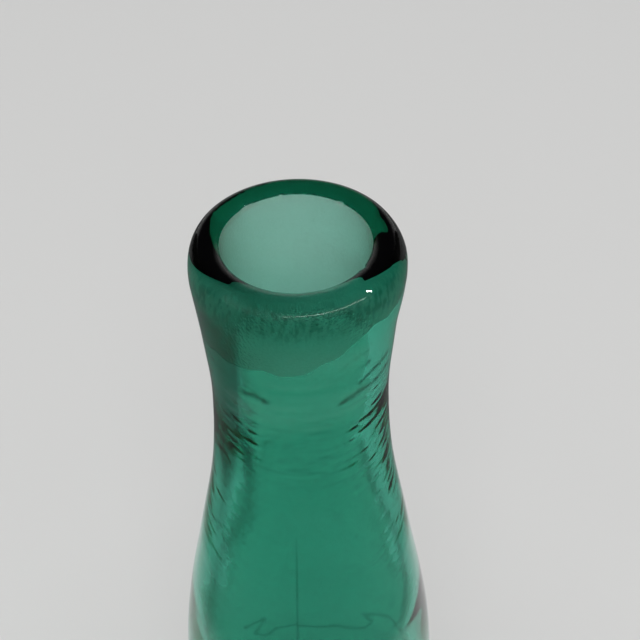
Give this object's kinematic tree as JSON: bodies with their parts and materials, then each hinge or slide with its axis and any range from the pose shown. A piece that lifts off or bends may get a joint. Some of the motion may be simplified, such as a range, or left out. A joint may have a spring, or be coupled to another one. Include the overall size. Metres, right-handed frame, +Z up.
{
  "type": "glass decanter bottle with stopper",
  "caption": "Tall hand-blown teal glass decanter bottle with a waisted neck, thick rounded lip and ground mouth, and its ball stopper set down beside it.",
  "frame": {"origin": "centre of the bottle's flat ground base, on the surface it stands on", "axes": "+Z up along the bottle's axis; the bottle is round about Z, and the stopper stands beside it towards -X and -Y"},
  "size_m": [0.152, 0.152, 0.36],
  "materials": {
    "teal_glass": "clear fire-polished blown glass, ground to a frosted surface inside the mouth and on the stopper's plug"
  },
  "bodies": {
    "bottle": {"bottle": "teal_glass"},
    "stopper": {"stopper": "teal_glass"}
  },
  "joints": [
    {"name": "stopper_lift", "type": "slide", "parent": "bottle", "child": "stopper", "axis": [0, 0, 1], "range_m": [0, 0.38]}
  ]
}
